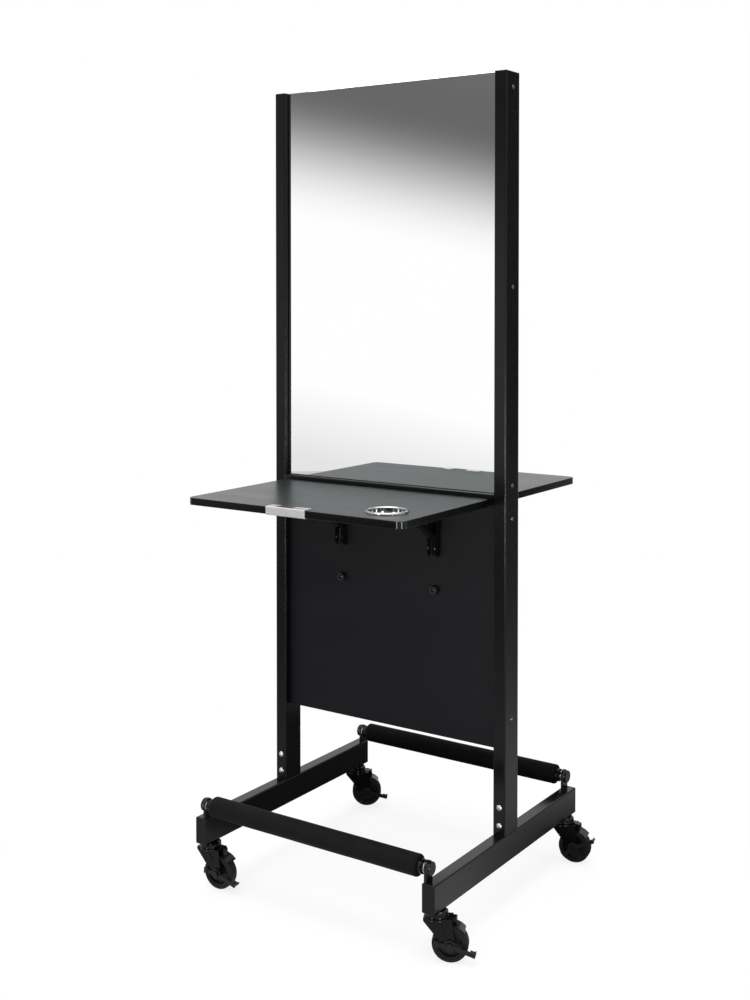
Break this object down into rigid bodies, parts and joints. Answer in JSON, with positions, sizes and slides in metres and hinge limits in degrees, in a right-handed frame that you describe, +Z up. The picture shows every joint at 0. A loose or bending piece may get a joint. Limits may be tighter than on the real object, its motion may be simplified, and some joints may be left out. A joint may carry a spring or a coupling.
{
  "type": "double sided salon station",
  "caption": "Mobile double sided hairdressing station: back-to-back mirrors, fold-down shelves with dryer rings, foam foot rests and braked swivel casters.",
  "frame": {"origin": "on the floor, under the middle of the frame", "axes": "+Z up, +X to the right of a user at the front shelf, -Y towards that user"},
  "size_m": [0.7172, 0.7764, 1.83],
  "materials": {
    "black_paint": "satin powder coat",
    "black_plastic": "fine grained moulding",
    "black_laminate": "matt laminate",
    "shelf_laminate": "satin laminate",
    "edge_band": "satin band",
    "mirror_glass": "polished",
    "chrome_ring": "polished",
    "plate_steel": "brushed",
    "zinc_screws": "bright zinc",
    "black_screws": "black zinc",
    "bracket_steel": "gloss black",
    "bumper_rubber": "matt",
    "foam": "closed cell foam",
    "caster_steel": "gloss black",
    "caster_tyre": "matt",
    "hub_plastic": "moulded",
    "pedal_plastic": "moulded"
  },
  "bodies": {
    "frame": {"left_upright": "black_paint", "right_upright": "black_paint", "left_base_rail": "black_paint", "right_base_rail": "black_paint", "tube_caps": "black_plastic", "cross_rail": "black_paint", "joint_screws": "zinc_screws", "side_screws": "black_screws", "mirror_core": "black_laminate", "front_mirror": "mirror_glass", "rear_mirror": "mirror_glass", "lower_panel": "black_laminate", "wall_arms": "bracket_steel", "bracket_pins": "black_screws", "wall_arm_screws": "zinc_screws", "bumpers": "bumper_rubber", "bumper_screws": "zinc_screws", "foot_rest_tubes": "black_paint", "foot_rest_bolts": "black_screws", "front_foot_rest_foam": "foam", "rear_foot_rest_foam": "foam", "caster_heads": "caster_steel"},
    "front_shelf": {"front_shelf_board": "shelf_laminate", "front_shelf_edge_band": "edge_band", "front_dryer_ring": "chrome_ring", "front_edge_plate": "plate_steel", "front_shelf_arms": "bracket_steel", "front_shelf_arm_screws": "zinc_screws"},
    "front_stays": {"front_struts": "bracket_steel", "front_strut_pins": "zinc_screws"},
    "rear_shelf": {"rear_shelf_board": "shelf_laminate", "rear_shelf_edge_band": "edge_band", "rear_dryer_ring": "chrome_ring", "rear_edge_plate": "plate_steel", "rear_shelf_arms": "bracket_steel", "rear_shelf_arm_screws": "zinc_screws"},
    "rear_stays": {"rear_struts": "bracket_steel", "rear_strut_pins": "zinc_screws"},
    "front_left_caster": {"front_left_fork": "caster_steel", "front_left_axle": "black_screws"},
    "front_left_wheel": {"front_left_tyre": "caster_tyre", "front_left_hub": "hub_plastic"},
    "front_left_brake": {"front_left_brake_pedal": "pedal_plastic"},
    "front_right_caster": {"front_right_fork": "caster_steel", "front_right_axle": "black_screws"},
    "front_right_wheel": {"front_right_tyre": "caster_tyre", "front_right_hub": "hub_plastic"},
    "front_right_brake": {"front_right_brake_pedal": "pedal_plastic"},
    "rear_left_caster": {"rear_left_fork": "caster_steel", "rear_left_axle": "black_screws"},
    "rear_left_wheel": {"rear_left_tyre": "caster_tyre", "rear_left_hub": "hub_plastic"},
    "rear_left_brake": {"rear_left_brake_pedal": "pedal_plastic"},
    "rear_right_caster": {"rear_right_fork": "caster_steel", "rear_right_axle": "black_screws"},
    "rear_right_wheel": {"rear_right_tyre": "caster_tyre", "rear_right_hub": "hub_plastic"},
    "rear_right_brake": {"rear_right_brake_pedal": "pedal_plastic"}
  },
  "joints": [
    {"name": "front_shelf_fold", "type": "hinge", "parent": "frame", "child": "front_shelf", "pos_m": [0, -0.024, 0.8745], "axis": [1, 0, 0], "range_deg": [0, 88]},
    {"name": "front_stay_swing", "type": "hinge", "parent": "frame", "child": "front_stays", "pos_m": [0, -0.024, 0.797], "axis": [1, 0, 0], "range_deg": [0, 122.83]},
    {"name": "rear_shelf_fold", "type": "hinge", "parent": "frame", "child": "rear_shelf", "pos_m": [0, 0.024, 0.8745], "axis": [-1, 0, 0], "range_deg": [0, 88]},
    {"name": "rear_stay_swing", "type": "hinge", "parent": "frame", "child": "rear_stays", "pos_m": [0, 0.024, 0.797], "axis": [-1, 0, 0], "range_deg": [0, 122.83]},
    {"name": "front_left_swivel", "type": "hinge", "parent": "frame", "child": "front_left_caster", "pos_m": [-0.302, -0.289, 0.104], "axis": [0, 0, 1], "continuous": true},
    {"name": "front_left_roll", "type": "hinge", "parent": "front_left_caster", "child": "front_left_wheel", "pos_m": [-0.27411, -0.28656, 0.0375], "axis": [-0.0872, 0.9962, 0], "continuous": true},
    {"name": "front_left_brake_press", "type": "hinge", "parent": "front_left_caster", "child": "front_left_brake", "pos_m": [-0.27411, -0.28656, 0.0375], "axis": [0.0872, -0.9962, 0], "range_deg": [-12, 46]},
    {"name": "front_right_swivel", "type": "hinge", "parent": "frame", "child": "front_right_caster", "pos_m": [0.302, -0.289, 0.104], "axis": [0, 0, 1], "continuous": true},
    {"name": "front_right_roll", "type": "hinge", "parent": "front_right_caster", "child": "front_right_wheel", "pos_m": [0.32738, -0.27717, 0.0375], "axis": [-0.4226, 0.9063, 0], "continuous": true},
    {"name": "front_right_brake_press", "type": "hinge", "parent": "front_right_caster", "child": "front_right_brake", "pos_m": [0.32738, -0.27717, 0.0375], "axis": [0.4226, -0.9063, 0], "range_deg": [-12, 46]},
    {"name": "rear_left_swivel", "type": "hinge", "parent": "frame", "child": "rear_left_caster", "pos_m": [-0.302, 0.289, 0.104], "axis": [0, 0, 1], "continuous": true},
    {"name": "rear_left_roll", "type": "hinge", "parent": "rear_left_caster", "child": "rear_left_wheel", "pos_m": [-0.27879, 0.30466, 0.0375], "axis": [-0.5592, 0.829, 0], "continuous": true},
    {"name": "rear_left_brake_press", "type": "hinge", "parent": "rear_left_caster", "child": "rear_left_brake", "pos_m": [-0.27879, 0.30466, 0.0375], "axis": [0.5592, -0.829, 0], "range_deg": [-17, 41]},
    {"name": "rear_right_swivel", "type": "hinge", "parent": "frame", "child": "rear_right_caster", "pos_m": [0.302, 0.289, 0.104], "axis": [0, 0, 1], "continuous": true},
    {"name": "rear_right_roll", "type": "hinge", "parent": "rear_right_caster", "child": "rear_right_wheel", "pos_m": [0.32958, 0.29386, 0.0375], "axis": [-0.1736, 0.9848, 0], "continuous": true},
    {"name": "rear_right_brake_press", "type": "hinge", "parent": "rear_right_caster", "child": "rear_right_brake", "pos_m": [0.32958, 0.29386, 0.0375], "axis": [0.1736, -0.9848, 0], "range_deg": [-56, 2]}
  ],
  "couplings": [
    {"joint": "front_stay_swing", "follows": "front_shelf_fold", "ratio": 1.3957},
    {"joint": "rear_stay_swing", "follows": "rear_shelf_fold", "ratio": 1.3957}
  ]
}
